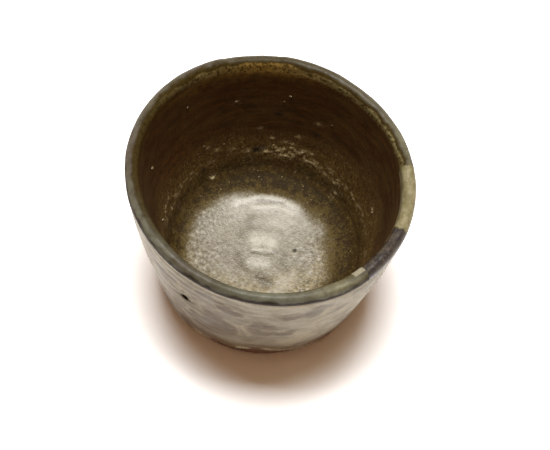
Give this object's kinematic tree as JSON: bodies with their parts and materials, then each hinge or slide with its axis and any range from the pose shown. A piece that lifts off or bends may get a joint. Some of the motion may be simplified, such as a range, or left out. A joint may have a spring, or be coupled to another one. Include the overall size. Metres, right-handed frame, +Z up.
{
  "type": "stoneware dipping cup",
  "caption": "Hand-thrown flared stoneware cup with pale outer glaze, brown inner glaze, an iron-painted lip mended with fills, and a trimmed foot ring.",
  "frame": {"origin": "centre of the foot ring, on the table plane", "axes": "+Z up along the cup's axis, +X towards the mended side of the lip, +Y away from the picture's viewer"},
  "size_m": [0.08, 0.08, 0.057],
  "materials": {
    "clay": "bare fired clay, matte and gritty",
    "brown_glaze": "dark brown glaze, half gloss, mottled",
    "pale_glaze": "pale beige-grey glaze, satin, brushed on",
    "iron_glaze": "dark iron brown, glossy",
    "pale_filler": "khaki repair putty, matte",
    "dark_lacquer": "purple-brown lacquer, satin",
    "feldspar": "fused white stone grains"
  },
  "bodies": {
    "root": {"clay_body": "clay", "inner_glaze": "brown_glaze", "outer_glaze": "pale_glaze", "iron_lip": "iron_glaze", "pale_fill": "pale_filler", "dark_fill": "dark_lacquer", "spot_fill": "pale_filler", "feldspar_grains": "feldspar"}
  },
  "joints": []
}
